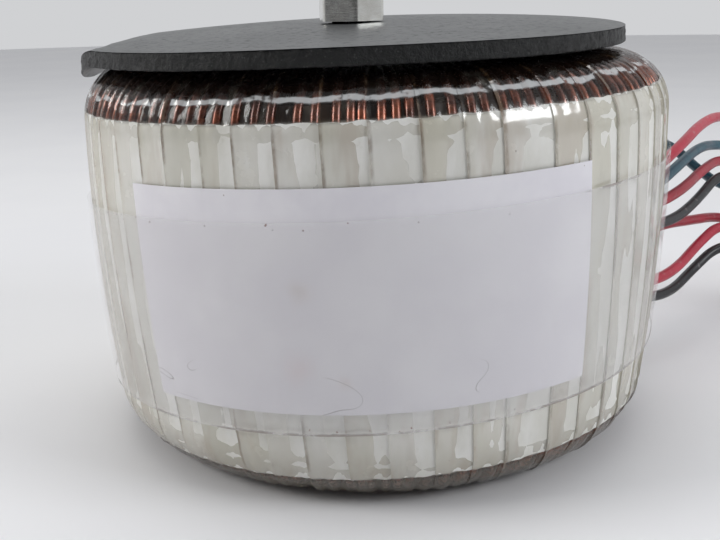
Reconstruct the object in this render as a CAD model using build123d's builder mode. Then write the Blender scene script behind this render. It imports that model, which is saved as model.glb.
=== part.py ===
from build123d import *
import os
from math import cos, radians, sin, tan

# Toroidal mains transformer, in millimetres. +Z is up and the origin is the centre of the foot.
# Azimuths are in degrees from the front (-Y) towards the right (+X).

# Outside of the wound body
body_height = 61.4
foot_radius = 44.5
waist_radius = 47.5
shoulder_radius = 47.5
shoulder_corner = 9.0
foot_corner = 9.5
hole_radius = 15.0
hole_corner = 6.0
least_corner = 1.0
crown_rise = 0.9

# Clear wrap tape: strips that lean and overlap like shingles
strip_count = 54
strip_lean = 2.9
strip_lap = 0.25
lap_width = 0.45
wrap_build = 0.9
wrap_start = 140.0
end_slit = 0.2

# White backing band under the wrap
band_thickness = 0.4
band_top = 55.3
band_foot = 5.2
band_tilt = 2.1

# Windings, from the outside in
ridge_count = 22
ridge_depth = 0.5
secondary_wire = 1.5
secondary_bore_layers = 2
insulation_build = 0.5
primary_build_side = 2.0
primary_build_end = 3.0
primary_build_bore = 3.0
layer_gap = 0.15
ridge_gap = 0.45
sector_gap = 1.5
sector_start = 115.0

# Core and its caps
cap_wall = 1.3
cap_corner = 1.8
cap_gap = 0.1
cap_joint = 0.2

# Flats that each quarter-round corner and each side is drawn with
wrap_corner_steps = 3
inner_corner_steps = 2
side_steps = 2
sector_steps = 10
core_steps = 30

# Label and cover tape
label_left = -44.0
label_right = 37.6
label_foot = 15.9
label_top = 47.2
label_tilt = 2.3
label_thickness = 0.15
label_steps = 14
tape_left = -95.0
tape_right = 92.0
tape_foot = 12.9
tape_top = 43.0
tape_tilt = 2.9
tape_thickness = 0.1
tape_steps = 24
sheet_rows = 4
stick_gap = 0.12

# Rubber pad and bolt
pad_thickness = 2.4
pad_radius = 44.4
pad_shift = -3.7
pad_droop_side = 1.65
pad_droop_front = 0.85
pad_fold_start = 41.0
pad_fold_drop = 3.2
pad_tilt = 1.6
pad_tilt_towards = -35.0
pad_hole_radius = 3.6
pad_snips = 30
pad_stations = [0, 0.45, 0.77, 0.875, 1]
pad_rest_step = 10
pad_trim = [0.3, 0.9, 0.2, -0.5, 0.4, 0.7, -0.3, 0.3, 0.8, -0.2, -0.6, 0.5]
bolt_across_flats = 10.0
bolt_face_diameter = 9.5
bolt_head_height = 4.0
bolt_shank_radius = 3.0
bolt_length = 60.0
bolt_thread_radius = 2.8
bolt_thread_length = 18.0
bolt_turn = 21.0
bolt_tip_chamfer = 0.8
head_chamfer = 30.0

# Flexible leads
lead_diameter = 2.1
lead_sides = 4
lead_hole_gap = 0.25
tip_diameter = 1.2
tip_length = 8.0
seat_gap = 0.1

mid_height = body_height / 2


def spot(azimuth, radius, height):
    """Point at an azimuth from the front, a radius and a height."""
    return Vector(radius * sin(radians(azimuth)), -radius * cos(radians(azimuth)), height)


def side_radius(height):
    """Radius of the barrelled outer side, carried down to the table and up to the top."""
    up = height / body_height
    foot = foot_radius * (1 - up) * (1 - 2 * up)
    shoulder = shoulder_radius * up * (2 * up - 1)
    return foot + 4 * waist_radius * up * (1 - up) + shoulder


def quarter_round(r, z, radius, start, steps):
    """Points round a corner about its centre, anticlockwise from a start angle."""
    turns = [radians(start + 90 * step / steps) for step in range(steps + 1)]
    return [(r + radius * cos(turn), z + radius * sin(turn)) for turn in turns]


# Each layer is given as its insets at the side, the ends and the bore.
def inward(layer, side, end, bore):
    """A layer's insets, each taken further in."""
    return (layer[0] + side, layer[1] + end, layer[2] + bore)


def side_outline(layer, steps):
    """A layer's outline from the foot, up the outer side, to the top."""
    side, end, bore = layer
    foot_r = foot_corner - side
    shoulder_r = shoulder_corner - side
    low = end + foot_r
    high = body_height - end - shoulder_r
    foot = quarter_round(side_radius(low) - side - foot_r, low, foot_r, -90, steps)
    shoulder = quarter_round(side_radius(high) - side - shoulder_r, high, shoulder_r, 0, steps)
    heights = [low + (high - low) * step / side_steps for step in range(1, side_steps)]
    return foot + [(side_radius(z) - side, z) for z in heights] + shoulder


def layer_outline(layer, steps=inner_corner_steps):
    """A layer's whole outline: the side, then across the top, down the hole and back."""
    side, end, bore = layer
    inner = hole_radius + bore
    corner = max(hole_corner - bore, least_corner)
    top = body_height + crown_rise - end
    hole = [(inner + corner, top), (inner, top - corner), (inner, end + corner), (inner + corner, end)]
    return side_outline(layer, steps) + hole


def loop_at(outline, azimuth, lean=0.0):
    """An outline's points on a plane through the axis at an azimuth, leaning back by an angle."""
    outward = spot(azimuth, 1, 0)
    along = spot(azimuth + 90, 1, 0) * tan(radians(lean))
    return [outward * r - along * (z - mid_height) + Vector(0, 0, z) for r, z in outline]


def ring(outline, azimuths, lean=0.0):
    """The same outline at several azimuths round the axis."""
    return [loop_at(outline, azimuth, lean) for azimuth in azimuths]


def flat_walls(loops):
    """Flat triangles that join each closed loop of points to the next."""
    walls = []
    for near, far in zip(loops, loops[1:]):
        for a, b, c, d in zip(near, near[1:] + near[:1], far[1:] + far[:1], far):
            walls.append(Face(Wire.make_polygon([a, b, c])))
            walls.append(Face(Wire.make_polygon([a, c, d])))
    return walls


def wound_ring(loops, hollow_loops=None):
    """Solid with flat walls from loop to loop, and a hollow that is open at both of its ends."""
    walls = flat_walls(loops)
    holes = [[], []]
    if hollow_loops:
        walls += flat_walls(hollow_loops)
        holes = [[Wire.make_polygon(loop)] for loop in (hollow_loops[0], hollow_loops[-1])]
    ends = [Face(Wire.make_polygon(loop), hole) for loop, hole in zip((loops[0], loops[-1]), holes)]
    return Solid(Shell(walls + ends))


def closed_ring(loops):
    """Solid with flat walls through each closed loop of points and back to the first."""
    return Solid(Shell(flat_walls(loops + loops[:1])))


def half_turn(start, steps):
    """Azimuths through one half of a winding, from one sector gap to the next."""
    arc = 180 - sector_gap
    return [start + sector_gap / 2 + arc * step / steps for step in range(steps + 1)]


wrap_outside = (0.0, 0.0, 0.0)
wrap_tucked = inward(wrap_outside, strip_lap, 0, 0)
wrap_inside = inward(wrap_outside, wrap_build, wrap_build, wrap_build)
band_outside = inward(wrap_inside, layer_gap, layer_gap, layer_gap)
band_inside = inward(band_outside, band_thickness, 0, 0)
secondary_outside = inward(band_inside, ridge_gap, ridge_gap, ridge_gap)
secondary_valley = inward(secondary_outside, ridge_depth, ridge_depth, ridge_depth)
secondary_inside = inward(
    secondary_outside, secondary_wire, secondary_wire, secondary_wire * secondary_bore_layers
)
insulation_outside = inward(secondary_inside, layer_gap, layer_gap, layer_gap)
insulation_inside = inward(
    insulation_outside, insulation_build, insulation_build, insulation_build
)
primary_outside = inward(insulation_inside, layer_gap, layer_gap, layer_gap)
primary_inside = inward(
    primary_outside, primary_build_side, primary_build_end, primary_build_bore
)

# The caps and the core fill what the windings leave, at the narrowest height of the body
narrow_radius = min(
    side_radius(foot_corner), side_radius(mid_height), side_radius(body_height - shoulder_corner)
)
pocket_outer = narrow_radius - primary_inside[0]
pocket_inner = hole_radius + primary_inside[2]
pocket_half = mid_height - primary_inside[1]
core_azimuths = [360 * step / core_steps for step in range(core_steps)]
cap_outer = pocket_outer - layer_gap
cap_inner = (pocket_inner + layer_gap) / cos(radians(180 / core_steps))
cap_half = pocket_half - layer_gap
core_outer = cap_outer - cap_wall - cap_gap
core_inner = cap_inner + cap_wall + cap_gap
core_half = cap_half - cap_wall - cap_gap

# Wound strip core
core_outline = [
    (core_inner, mid_height - core_half),
    (core_outer, mid_height - core_half),
    (core_outer, mid_height + core_half),
    (core_inner, mid_height + core_half),
]
with BuildPart() as core:
    add(closed_ring(ring(core_outline, core_azimuths)))
core.part.label = "core"

# Moulded channel rings that cover the core's ends, the upper one mirrored for the lower
cap_foot = mid_height + cap_joint / 2
cap_top = mid_height + cap_half
cap_outline = [
    (cap_inner, cap_foot),
    (core_inner - cap_gap, cap_foot),
    (core_inner - cap_gap, mid_height + core_half + cap_gap),
    (core_outer + cap_gap, mid_height + core_half + cap_gap),
    (core_outer + cap_gap, cap_foot),
    (cap_outer, cap_foot),
    (cap_outer, cap_top - cap_corner),
    (cap_outer - cap_corner, cap_top),
    (cap_inner, cap_top),
]
with BuildPart() as core_cap_upper:
    add(closed_ring(ring(cap_outline, core_azimuths)))
core_cap_upper.part.label = "core_cap_upper"
with BuildPart() as core_cap_lower:
    add(core_cap_upper.part.mirror(Plane.XY.offset(mid_height)))
core_cap_lower.part.label = "core_cap_lower"

# The primary's inner side is flat between the planes, so its corners stand further out
flats_angle = (180 - sector_gap) / sector_steps
pocket_corner = pocket_outer / cos(radians(flats_angle / 2))
pocket_low = mid_height - pocket_half
pocket_high = mid_height + pocket_half
pocket_outline = [
    (pocket_inner, pocket_low),
    (pocket_corner - cap_corner, pocket_low),
    (pocket_corner, pocket_low + cap_corner),
    (pocket_corner, pocket_high - cap_corner),
    (pocket_corner - cap_corner, pocket_high),
    (pocket_inner, pocket_high),
]


def primary_winding(start):
    """Half of the primary, wound over the caps from an azimuth onwards."""
    azimuths = half_turn(start, sector_steps)
    with BuildPart() as winding:
        add(wound_ring(ring(layer_outline(primary_outside), azimuths), ring(pocket_outline, azimuths)))
    return winding


primary_winding_a = primary_winding(sector_start)
primary_winding_a.part.label = "primary_winding_a"
primary_winding_b = primary_winding(sector_start + 180)
primary_winding_b.part.label = "primary_winding_b"

# Insulation between the windings, open where the primary's ends come out
with BuildPart() as winding_insulation:
    both_halves = half_turn(sector_start, sector_steps) + half_turn(sector_start + 180, sector_steps)
    film = ring(layer_outline(insulation_outside), both_halves)
    add(wound_ring(film, ring(layer_outline(insulation_inside), both_halves)))
winding_insulation.part.label = "winding_insulation"

# Half of the secondary: its ridges are turns that run right round the section
with BuildPart() as secondary_winding_a:
    ridge_lines = [
        loop_at(layer_outline(secondary_outside if step % 2 else secondary_valley), azimuth)
        for step, azimuth in enumerate(half_turn(sector_start, 2 * ridge_count))
    ]
    bed = ring(layer_outline(secondary_inside), half_turn(sector_start, sector_steps))
    add(wound_ring(ridge_lines, bed))
secondary_winding_a.part.label = "secondary_winding_a"
with BuildPart() as secondary_winding_b:
    add(secondary_winding_a.part.rotate(Axis.Z, 180))
secondary_winding_b.part.label = "secondary_winding_b"

# Where each lead leaves the winding: azimuth and height
lead_exits = {
    "primary_a_start": (108.0, 37.0),
    "primary_a_end": (108.0, 26.5),
    "primary_b_start": (108.0, 15.0),
    "primary_b_end": (112.0, 11.0),
    "secondary_a_start": (108.0, 33.5),
    "secondary_a_end": (124.0, 40.0),
    "secondary_b_start": (108.0, 30.2),
    "secondary_b_end": (114.0, 23.0),
}


def lead_root(name):
    """Point on the winding, just clear of its turns, where a lead starts."""
    azimuth, height = lead_exits[name]
    return spot(azimuth, side_radius(height) - secondary_outside[0] + seat_gap, height)


# Cuts that let the leads out through the band and the wrap
with BuildPart() as lead_cuts:
    for name, (azimuth, height) in lead_exits.items():
        with BuildSketch(Plane(origin=lead_root(name), z_dir=spot(azimuth, 1, 0))):
            RegularPolygon(lead_diameter / 2 + lead_hole_gap, lead_sides)
    extrude(amount=2 * secondary_outside[0], both=True)

# Wrap tape: each strip is flat across and laps the next, and its end leaves a slit at the back
strip_pitch = (360 - end_slit) / strip_count
strip_edges = [wrap_start + strip * strip_pitch for strip in range(strip_count + 1)]
every_other_edge = strip_edges[::2]
with BuildPart() as clear_wrap:
    proud = [(azimuth, wrap_outside) for azimuth in strip_edges]
    tucked = [(azimuth - lap_width, wrap_tucked) for azimuth in strip_edges[1:]]
    shingles = [
        loop_at(layer_outline(layer, wrap_corner_steps), azimuth, strip_lean)
        for azimuth, layer in sorted(proud + tucked)
    ]
    add(wound_ring(shingles, ring(layer_outline(wrap_inside), every_other_edge, strip_lean)))
    add(lead_cuts.part, mode=Mode.SUBTRACT)
clear_wrap.part.label = "clear_wrap"

# White band: a strip round the side that climbs to the right, with its joint under the slit
with BuildPart() as white_band:
    outer_line = side_outline(band_outside, inner_corner_steps)
    inner_line = side_outline(band_inside, inner_corner_steps)
    add(wound_ring(ring(outer_line + inner_line[::-1], every_other_edge, strip_lean)))
    split(bisect_by=Plane.XY.offset(band_top).rotated((0, -band_tilt, 0)), keep=Keep.BOTTOM)
    split(bisect_by=Plane.XY.offset(band_foot).rotated((0, -band_tilt, 0)), keep=Keep.TOP)
    add(lead_cuts.part, mode=Mode.SUBTRACT)
white_band.part.label = "white_band"


def stuck_sheet(left, right, foot, top, tilt, inside, thickness, steps):
    """Thin sheet on the body's side between two azimuths, climbing to the right by its tilt."""
    loops = []
    for step in range(steps + 1):
        azimuth = left + (right - left) * step / steps
        climb = waist_radius * radians(azimuth) * tan(radians(tilt))
        heights = [foot + climb + (top - foot) * row / sheet_rows for row in range(sheet_rows + 1)]
        near = [(side_radius(z) + inside, z) for z in heights]
        far = [(side_radius(z) + inside + thickness, z) for z in reversed(heights)]
        loops.append(loop_at(near + far, azimuth, tilt))
    with BuildPart() as sheet:
        add(wound_ring(loops))
    return sheet


label = stuck_sheet(
    label_left, label_right, label_foot, label_top, label_tilt,
    stick_gap, label_thickness, label_steps,
)
label.part.label = "label"
cover_tape = stuck_sheet(
    tape_left, tape_right, tape_foot, tape_top, tape_tilt,
    3 * stick_gap + label_thickness, tape_thickness, tape_steps,
)
cover_tape.part.label = "cover_tape"

# Rubber pad: a disc cut by hand in short snips, drooping, tilted to the front left and set left
crown_radius = hole_radius + hole_corner
shoulder_edge = side_radius(body_height - shoulder_corner) - shoulder_corner


def pad_fall(point):
    """How far the pad lies below its rest height at a point: its tilt, droop and left fold."""
    tilt = tan(radians(pad_tilt)) * point.dot(spot(pad_tilt_towards, 1, 0))
    droop = (pad_droop_side * point.X**2 + pad_droop_front * point.Y**2) / pad_radius**2
    fold_reach = max(-point.X - pad_fold_start, 0)
    fold = pad_fold_drop * (fold_reach / (pad_radius - pad_shift - pad_fold_start)) ** 2
    return tilt + droop + fold


# Rest height at which the pad just clears the crown and the shoulder all the way round
pad_rest = 2 * seat_gap + max(
    height + pad_fall(spot(azimuth, radius, 0))
    for radius, height in (
        (crown_radius, body_height + crown_rise), (shoulder_edge, body_height)
    )
    for azimuth in range(0, 360, pad_rest_step)
)
pad_centre = Vector(pad_shift, 0, 0)
pad_turn = 360 / len(pad_trim)
pad_marks = [
    spot(index * pad_turn, pad_radius + trim, 0) + pad_centre
    for index, trim in enumerate(pad_trim)
]
pad_rim = Spline(*pad_marks, periodic=True)


def pad_section(rim_point):
    """The pad's corners from its hole to a point of its rim: the under side, then the top."""
    hole_point = pad_centre + (rim_point - pad_centre).normalized() * pad_hole_radius
    plan = [hole_point + (rim_point - hole_point) * share for share in pad_stations]
    under = [point + Vector(0, 0, pad_rest - pad_fall(point)) for point in plan]
    return under + [point + Vector(0, 0, pad_thickness) for point in reversed(under)]


with BuildPart() as rubber_pad:
    snips = [pad_section(pad_rim @ (snip / pad_snips)) for snip in range(pad_snips)]
    add(closed_ring(snips))
rubber_pad.part.label = "rubber_pad"

# Hex bolt, dropped through the pad: its head clears the pad's high side
head_corner = bolt_across_flats / 2 / cos(radians(30))
head_lift = head_corner * tan(radians(pad_tilt)) + seat_gap
head_foot = pad_rest - pad_fall(pad_centre) + pad_thickness + head_lift
head_top = head_foot + bolt_head_height
with BuildPart() as bolt:
    with BuildSketch(Plane.XY.offset(head_foot)):
        RegularPolygon(bolt_across_flats / 2, 6, major_radius=False, rotation=bolt_turn)
    extrude(amount=bolt_head_height)
    with BuildSketch(Plane.XZ):
        with BuildLine():
            fall = (bolt_across_flats - bolt_face_diameter / 2) * tan(radians(head_chamfer))
            Polyline(
                (0, head_foot), (bolt_across_flats, head_foot), (bolt_across_flats, head_top - fall),
                (bolt_face_diameter / 2, head_top), (0, head_top), close=True,
            )
        make_face()
    revolve(axis=Axis.Z, mode=Mode.INTERSECT)
    with BuildSketch(Plane.XY.offset(head_foot)):
        Circle(bolt_shank_radius)
    extrude(amount=bolt_thread_length - bolt_length)
    with BuildSketch(Plane.XY.offset(head_foot - bolt_length)):
        Circle(bolt_thread_radius)
    extrude(amount=bolt_thread_length)
    chamfer(edges().group_by(Axis.Z)[0], bolt_tip_chamfer)
bolt.part = bolt.part.translate(pad_centre)
bolt.part.label = "bolt"

# Routes of the leads beyond their exits: the second point is straight out of the winding
lead_reach = 55.0
bend_share = 0.45
lead_routes = {
    "primary_a_start": [
        (60.5, 26, 41), (68, 39.5, 43), (76.5, 53, 43.3), (91, 63.5, 40), (105, 70.5, 27),
        (117, 75, 9.5), (129, 78.5, 1.3), (141, 81.5, 1.1),
    ],
    "secondary_a_start": [
        (60, 27, 36.3), (68.5, 41, 38), (77, 54, 36.5), (91, 61.5, 34), (104.5, 66.5, 22),
        (116, 70, 7.5), (127, 72.8, 1.3), (138, 75.2, 1.1),
    ],
    "secondary_b_start": [
        (60.5, 25, 31.8), (68.5, 38, 33.5), (76.5, 51, 33.8), (90, 57.5, 31.5), (103, 61.5, 20.5),
        (114, 64.5, 7), (125, 67, 1.3), (136, 69, 1.1),
    ],
    "primary_a_end": [
        (60, 26, 25.8), (67.5, 36.5, 27.5), (75.5, 47.5, 31.3), (88, 53, 29.5), (100.5, 56, 19),
        (111.5, 58.5, 6.5), (122.5, 60.5, 1.3), (133.5, 62.2, 1.1),
    ],
    "secondary_a_end": [
        (54.5, 35.5, 41.2), (62.5, 40.5, 38.5), (70.5, 46, 32), (77.5, 51.5, 27.5), (90, 52.5, 24),
        (101.5, 52.8, 14), (112.5, 53.3, 4.5), (123.5, 54.2, 1.3), (134.5, 55.4, 1.1),
    ],
    "secondary_b_end": [
        (58.5, 29.5, 24), (66.5, 38.5, 22.6), (77, 50, 21), (91, 50.5, 17.5), (102.5, 49.3, 7.5),
        (113.5, 48.2, 1.3), (124.5, 47.6, 1.1),
    ],
    "primary_b_start": [
        (60.5, 26, 15), (68.5, 37, 18), (76, 45, 20.6), (88.5, 47, 18), (99, 45.2, 8.5),
        (109.5, 43.8, 1.4), (120, 42.8, 1.1),
    ],
    "primary_b_end": [
        (60, 28, 9.3), (68, 38, 12), (74.6, 42, 16.4), (87, 43, 16.3), (97.5, 41, 8),
        (107.5, 39.2, 1.4), (117.5, 37.6, 1.1),
    ],
}


def lead_points(name):
    """Corner points of a lead's route, from the winding to the end of its jacket."""
    azimuth, height = lead_exits[name]
    return [lead_root(name), spot(azimuth, lead_reach, height)] + [
        Vector(*point) for point in lead_routes[name]
    ]


def bend_radii(points):
    """Radius at each corner, as large as its two runs allow."""
    radii = []
    for before, here, after in zip(points, points[1:], points[2:]):
        shorter = min((here - before).length, (after - here).length)
        turn = (here - before).get_angle(after - here)
        radii.append(bend_share * shorter / tan(radians(turn / 2)))
    return radii


def lead_jacket(name):
    """Jacket of one lead, swept along straight runs joined by tangent arcs."""
    points = lead_points(name)
    radii = bend_radii(points)
    with BuildPart() as jacket:
        with BuildLine() as path:
            FilletPolyline(*points, radius=radii)
        with BuildSketch(Plane(origin=points[0], z_dir=points[1] - points[0])):
            RegularPolygon(lead_diameter / 2, lead_sides)
        sweep()
    length = sum(edge.length for edge in path.edges())
    print(name, "length", round(length, 1), "radii", [round(radius, 1) for radius in radii])
    return jacket


def lead_tip(name):
    """Stripped and tinned end of one lead."""
    points = lead_points(name)
    with BuildPart() as tip:
        with BuildSketch(Plane(origin=points[-1], z_dir=points[-1] - points[-2])):
            RegularPolygon(tip_diameter / 2, lead_sides)
        extrude(amount=tip_length)
    return tip


pieces = [
    core, core_cap_upper, core_cap_lower, primary_winding_a, primary_winding_b, winding_insulation,
    secondary_winding_a, secondary_winding_b, white_band, clear_wrap, label, cover_tape,
    rubber_pad, bolt,
]
for name in lead_routes:
    jacket = lead_jacket(name)
    jacket.part.label = name + "_lead"
    tip = lead_tip(name)
    tip.part.label = name + "_tip"
    pieces += [jacket, tip]

os.makedirs("parts", exist_ok=True)
for piece in pieces:
    export_step(piece.part, f"parts/{piece.part.label}.step")
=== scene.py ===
import random
from bisect import bisect
from functools import reduce
from math import atan2, cos, degrees, exp, hypot, pi, radians, sin, sqrt, tan

import bmesh
import bpy
from mathutils import Matrix, Vector, noise


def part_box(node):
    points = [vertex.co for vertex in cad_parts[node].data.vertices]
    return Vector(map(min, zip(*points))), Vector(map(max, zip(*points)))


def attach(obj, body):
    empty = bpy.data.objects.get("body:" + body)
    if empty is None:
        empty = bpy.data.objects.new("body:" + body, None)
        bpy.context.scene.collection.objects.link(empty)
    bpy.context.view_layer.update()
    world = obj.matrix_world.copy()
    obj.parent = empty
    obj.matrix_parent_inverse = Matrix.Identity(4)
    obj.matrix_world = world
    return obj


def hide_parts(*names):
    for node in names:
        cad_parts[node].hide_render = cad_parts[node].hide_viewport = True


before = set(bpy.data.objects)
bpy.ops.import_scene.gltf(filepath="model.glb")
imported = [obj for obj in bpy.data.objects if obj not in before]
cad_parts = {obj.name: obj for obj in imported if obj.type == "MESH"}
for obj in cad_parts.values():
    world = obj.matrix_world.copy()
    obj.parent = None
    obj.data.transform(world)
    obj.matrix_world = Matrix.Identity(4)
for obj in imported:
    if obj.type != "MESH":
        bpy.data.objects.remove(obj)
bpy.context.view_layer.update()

# Shapes are worked out in millimetres and written to the meshes in metres.
# Azimuths are in degrees from the front (-Y) towards the right (+X).
MM = 0.001
dice = random.Random(11)

# The body's outside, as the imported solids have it
BODY_HEIGHT = 61.4
MID_HEIGHT = BODY_HEIGHT / 2
FOOT_RADIUS = 44.5
WAIST_RADIUS = 47.5
SHOULDER_CORNER = 9.0
FOOT_CORNER = 9.5
HOLE_RADIUS = 15.0
HOLE_CORNER = 6.0
HOLE_CORNER_LEAST = 2.0
CROWN_RISE = 0.9

# Clear wrap: seams measured at the front, the rest of the ring in nearly even strips
STRIP_LEAN = 2.9
STRIP_LAP = 0.25
FRONT_SEAMS = [-35.5, -27.5, -21.5, -14.6, -7.1, 0.2, 8.1, 15.0, 21.2, 30.4, 37.7, 45.0, 52.1]
OTHER_STRIPS = 41
SEAM_SCATTER = 0.8
STRIP_COLUMNS = 11
STRIP_ROUNDNESS = 0.25
SEAM_GAP = 0.004
FILM_SAG = 0.3
BACKED_SAG = 0.12
FILM_RIPPLE = 0.07

# Copper turns: azimuths read at the front, the rest by their pitch
FRONT_TURNS = [-19.5, -16.8, -12.3, -9.5, -6.1, -3.8, -2.1, 1.0, 3.3, 5.4, 8.8, 12.2, 15.5]
TURN_PITCH = 2.93
TURN_SCATTER = 0.35
WIRE_DIAMETER = 1.3
WIRE_COVER = 0.5
WIRE_SIDES = 8
WIRE_NESTING = 0.95
WIRE_SWAY = 0.2
WIRE_SWAY_LENGTH = 9.0
SECTOR_START = 115.0
SECTOR_MARGIN = 1.2

# White band, label and cover tape: ends in degrees, edges and thicknesses in mm
BAND_TOP = 55.3
BAND_FOOT = 5.2
BAND_TILT = 2.1
BAND_COVER = 0.22
BAND_THICKNESS = 0.2
BAND_START = 140.1
BAND_SWEEP = 359.8
BAND_GRID = (420, 22)
BAND_EDGE = [(0.35, 3.1, 3.0), (0.18, 0.9, 4.0)]
LABEL = {"left": -44.0, "right": 37.6, "foot": 15.9, "top": 47.2, "tilt": 2.3}
LABEL_LIFT = 0.12
LABEL_THICKNESS = 0.15
LABEL_GRID = (110, 40)
TAPE = {"left": -95.0, "right": 92.0, "foot": 12.9, "top": 43.0, "tilt": 2.9}
TAPE_LIFT = 0.51
TAPE_THICKNESS = 0.1
TAPE_GRID = (220, 62)
TAPE_CLEAN_TO = 36.0
TAPE_CLEAN_SHARE = 0.08
SHEET_ROUGHNESS = 0.03

# Rubber pad and bolt
PAD_REST = 63.69
PAD_THICKNESS = 2.4
PAD_RADIUS = 44.4
PAD_SHIFT = -3.7
PAD_DROOP_SIDE = 1.65
PAD_DROOP_FRONT = 0.85
PAD_FOLD_START = 41.0
PAD_FOLD_DROP = 3.2
PAD_TILT = 1.6
PAD_TILT_TOWARDS = -35.0
PAD_HOLE_RADIUS = 3.6
PAD_TRIM = [0.3, 0.9, 0.2, -0.5, 0.4, 0.7, -0.3, 0.3, 0.8, -0.2, -0.6, 0.5]
PAD_SEGMENTS = 900
PAD_RINGS = [0.0, 0.1, 0.25, 0.42, 0.6, 0.75, 0.88, 0.95, 0.985, 1.0]
PAD_EDGE_ROWS = [0.0, 0.06, 0.2, 0.36, 0.52, 0.68, 0.84, 0.95, 1.0]
PAD_SNIPS = [(0.12, 9.0, 2.0)]
PAD_TEETH = [(0.16, 0.55, 1.0), (0.12, 1.5, 2.0)]
PAD_EDGE_SLOPE = 0.18
PAD_EDGE_ROUND = 0.12
BOLT_SEGMENTS = 144
BOLT_ACROSS_FLATS = 10.0
BOLT_FACE_RADIUS = 4.75
BOLT_HEAD_HEIGHT = 4.0
BOLT_HEAD_ROWS = [0, 0.12, 1.0, 2.2] + [2.9 + 0.1 * step for step in range(12)]
BOLT_CUP = [(0.0, 0.25), (3.3, 0.25), (3.55, 0.02)]
BOLT_CORNER_TRIM = 0.12
BOLT_FOOT_TRIM = 0.15
BOLT_FILLET = 0.4
BOLT_END_TAPER = 0.8
BOLT_SHANK_RADIUS = 3.0
BOLT_THREAD_LENGTH = 18.0
BOLT_THREAD_PITCH = 1.0
BOLT_THREAD_DEPTH = 0.45
BOLT_THREAD_INSET = 0.04
BOLT_THREAD_RUN_OUT = 0.6
BOLT_THREAD_END = 1.0
THREAD_STEPS_PER_MM = 8
BOLT_TURN = 21.0

# Leads: the slot, the azimuth and height where each leaves the body, then its route
LEAD_DIAMETER = 2.1
LEAD_REACH = 55.0
LEAD_INSET = 1.8
TIP_LENGTH = 7.8
TIP_STRANDS = 7
TIP_OVERLAP = 0.3
STRAND_RADIUS = 0.2
STRAND_REACH = 0.4
STRAND_LAY = 6.5
STRAND_STEPS = 16
STRAND_SIDES = 7
LEAD_SIDE_X = 20.0
LEAD_SIDE_Y = 5.0
LEAD_MOUND_RISE = 0.7
LEAD_MOUND_REACH = 2.6
LEADS = {
    "primary_a_start": ("lead_red", 108.0, 37.0, [
        (60.5, 26, 41), (68, 39.5, 43), (76.5, 53, 43.3), (91, 63.5, 40), (105, 70.5, 27),
        (117, 75, 9.5), (129, 78.5, 1.3), (141, 81.5, 1.1),
    ]),
    "secondary_a_start": ("lead_teal", 108.0, 33.5, [
        (60, 27, 36.3), (68.5, 41, 38), (77, 54, 36.5), (91, 61.5, 34), (104.5, 66.5, 22),
        (116, 70, 7.5), (127, 72.8, 1.3), (138, 75.2, 1.1),
    ]),
    "secondary_b_start": ("lead_dark_red", 108.0, 30.2, [
        (60.5, 25, 31.8), (68.5, 38, 33.5), (76.5, 51, 33.8), (90, 57.5, 31.5),
        (103, 61.5, 20.5), (114, 64.5, 7), (125, 67, 1.3), (136, 69, 1.1),
    ]),
    "primary_a_end": ("lead_black", 108.0, 26.5, [
        (60, 26, 25.8), (67.5, 36.5, 27.5), (75.5, 47.5, 31.3), (88, 53, 29.5),
        (100.5, 56, 19), (111.5, 58.5, 6.5), (122.5, 60.5, 1.3), (133.5, 62.2, 1.1),
    ]),
    "secondary_a_end": ("lead_teal", 124.0, 40.0, [
        (54.5, 35.5, 41.2), (62.5, 40.5, 38.5), (70.5, 46, 32), (77.5, 51.5, 27.5),
        (90, 52.5, 24), (101.5, 52.8, 14), (112.5, 53.3, 4.5), (123.5, 54.2, 1.3),
        (134.5, 55.4, 1.1),
    ]),
    "secondary_b_end": ("lead_dark_red", 114.0, 23.0, [
        (58.5, 29.5, 24), (66.5, 38.5, 22.6), (77, 50, 21), (91, 50.5, 17.5),
        (102.5, 49.3, 7.5), (113.5, 48.2, 1.3), (124.5, 47.6, 1.1),
    ]),
    "primary_b_start": ("lead_red", 108.0, 15.0, [
        (60.5, 26, 15), (68.5, 37, 18), (76, 45, 20.6), (88.5, 47, 18), (99, 45.2, 8.5),
        (109.5, 43.8, 1.4), (120, 42.8, 1.1),
    ]),
    "primary_b_end": ("lead_black", 112.0, 11.0, [
        (60, 28, 9.3), (68, 38, 12), (74.6, 42, 16.4), (87, 43, 16.3), (97.5, 41, 8),
        (107.5, 39.2, 1.4), (117.5, 37.6, 1.1),
    ]),
}

# Table, surroundings and lights, in metres and watts
TABLE_REACH = 1.6
TABLE_SEGMENTS = 96
TABLE_TOP = -0.00005
WORLD_COLOUR = (0.90, 0.91, 0.93)
WORLD_FADE = {"From Min": -0.9, "From Max": 0.1, "To Min": 0.09, "To Max": 0.70}
LIGHTS = {
    "overhead": ((0.0, 0.12, 0.75), (0, 0, 0.03), (0.5, 0.3), 1.1, (1, 1, 1)),
    "left": ((-0.6, -0.10, 0.38), (0, 0, 0.04), (0.3, 0.25), 1.9, (1.0, 0.99, 0.96)),
    "right": ((0.56, -0.24, 0.36), (0, 0, 0.04), (0.3, 0.25), 1.9, (0.96, 0.98, 1.0)),
}


def spot(azimuth, radius, height):
    """Point at an azimuth from the front, a radius and a height."""
    turn = radians(azimuth)
    return Vector((radius * sin(turn), -radius * cos(turn), height))


def side_radius(height):
    """Radius of the barrelled side, carried down to the table and up to the top."""
    up = height / BODY_HEIGHT
    foot = FOOT_RADIUS * (1 - up) * (1 - 2 * up)
    shoulder = WAIST_RADIUS * up * (2 * up - 1)
    return foot + 4 * WAIST_RADIUS * up * (1 - up) + shoulder


def smooth_step(value, low, high):
    """0 at low, 1 at high and a smooth change between; low may be the larger."""
    share = min(max((value - low) / (high - low), 0.0), 1.0)
    return share * share * (3 - 2 * share)


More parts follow.
